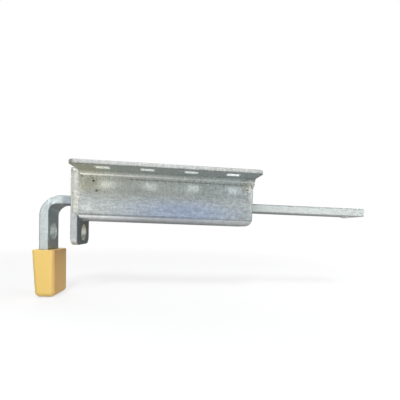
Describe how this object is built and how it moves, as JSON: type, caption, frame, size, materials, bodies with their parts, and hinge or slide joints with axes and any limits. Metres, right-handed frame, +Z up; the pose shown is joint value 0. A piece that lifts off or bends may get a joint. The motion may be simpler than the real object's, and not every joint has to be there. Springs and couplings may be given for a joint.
{
  "type": "slide bolt",
  "caption": "Sliding flat-bar bolt in a folded galvanised case with a slotted mounting flange, a padlock lug and a yellow grip on the bent leg.",
  "frame": {"origin": "middle of the row of slots, on the flange's upper mounting face", "axes": "+X along the bar towards its tip, +Y from the slotted flange back towards the bar, +Z up out of the mounting face"},
  "size_m": [0.3191, 0.0655, 0.1188],
  "materials": {
    "sheet_zinc": "hot-dip galvanised folded sheet, matt grey with a faint yellow and blue cast",
    "plate_zinc": "hot-dip galvanised plate, satin",
    "bar_zinc": "zinc-plated flat bar, satin",
    "weld_zinc": "galvanised weld, rough and slightly yellow",
    "grip_yellow": "moulded plastic, satin warm yellow"
  },
  "bodies": {
    "case": {"channel": "sheet_zinc", "lug_plate": "plate_zinc", "front_weld": "weld_zinc", "rear_weld": "weld_zinc", "corner_weld": "weld_zinc"},
    "bolt": {"slide_bar": "bar_zinc", "stop_dab": "weld_zinc", "grip_cap": "grip_yellow"}
  },
  "joints": [
    {"name": "bolt_slide", "type": "slide", "parent": "case", "child": "bolt", "axis": [1, 0, 0], "range_m": [-0.099, 0.012]}
  ]
}
